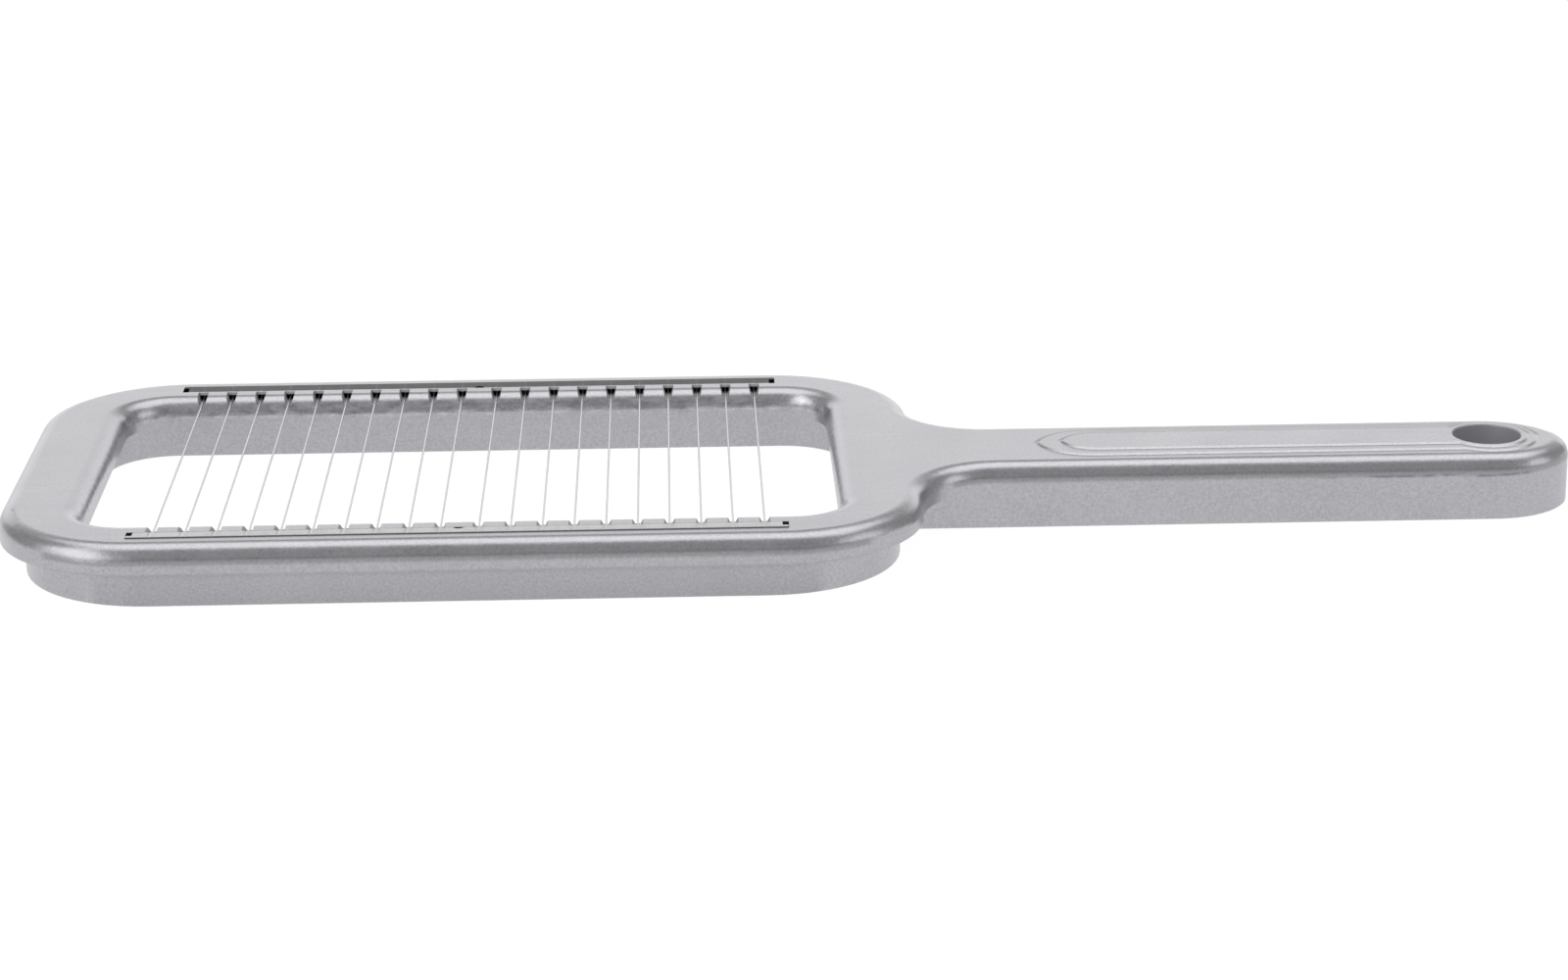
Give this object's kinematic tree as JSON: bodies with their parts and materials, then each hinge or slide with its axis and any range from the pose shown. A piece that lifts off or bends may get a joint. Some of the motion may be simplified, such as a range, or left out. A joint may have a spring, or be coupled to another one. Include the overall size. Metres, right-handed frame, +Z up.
{
  "type": "egg slicer",
  "caption": "Hand-held egg slicer: a cast metal frame with a handle and hanging hole, parallel cutting wires across its window, clamped under strips.",
  "frame": {"origin": "centre of the bounding box's bottom face, on the plane of the underside", "axes": "+X along the handle, away from the wires; +Y along the wires; +Z up, from the underside to the face that carries the wires"},
  "size_m": [0.2574, 0.0928, 0.0114],
  "materials": {
    "casting": "satin die casting, fine grain",
    "strip": "smooth rolled, satin",
    "wire": "bright drawn wire"
  },
  "bodies": {
    "root": {"frame": "casting", "strip_front": "strip", "strip_back": "strip", "wire_01": "wire", "wire_02": "wire", "wire_03": "wire", "wire_04": "wire", "wire_05": "wire", "wire_06": "wire", "wire_07": "wire", "wire_08": "wire", "wire_09": "wire", "wire_10": "wire", "wire_11": "wire", "wire_12": "wire", "wire_13": "wire", "wire_14": "wire", "wire_15": "wire", "wire_16": "wire", "wire_17": "wire", "wire_18": "wire", "wire_19": "wire", "wire_20": "wire"}
  },
  "joints": []
}
